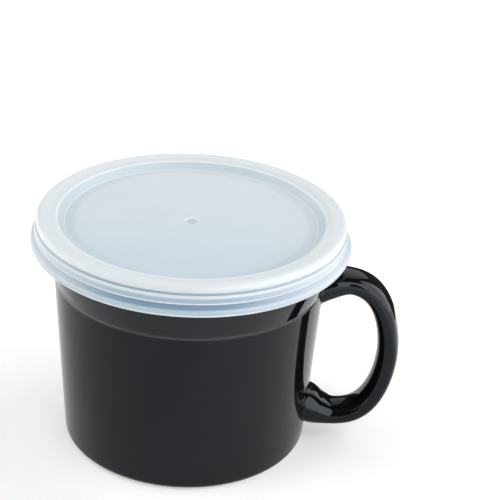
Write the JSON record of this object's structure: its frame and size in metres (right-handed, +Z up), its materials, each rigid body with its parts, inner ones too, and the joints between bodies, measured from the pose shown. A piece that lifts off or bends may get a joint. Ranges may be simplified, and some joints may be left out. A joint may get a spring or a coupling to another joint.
{
  "type": "soup mug",
  "caption": "Wide stoneware soup mug in black glaze, with a flared rim band, a loop handle and a translucent plastic lid that lifts off.",
  "frame": {"origin": "on the axis of the cup, in the plane of the foot ring that stands on the table", "axes": "+Z up along the axis of the cup, +X out through the middle of the handle"},
  "size_m": [0.1412, 0.12, 0.0916],
  "materials": {
    "black_glaze": "gloss",
    "milky_plastic": "satin"
  },
  "bodies": {
    "mug": {"mug_body": "black_glaze", "handle": "black_glaze"},
    "lid": {"lid": "milky_plastic"}
  },
  "joints": [
    {"name": "lid_lift", "type": "slide", "parent": "mug", "child": "lid", "axis": [0, 0, 1], "range_m": [0, 0.08]}
  ]
}
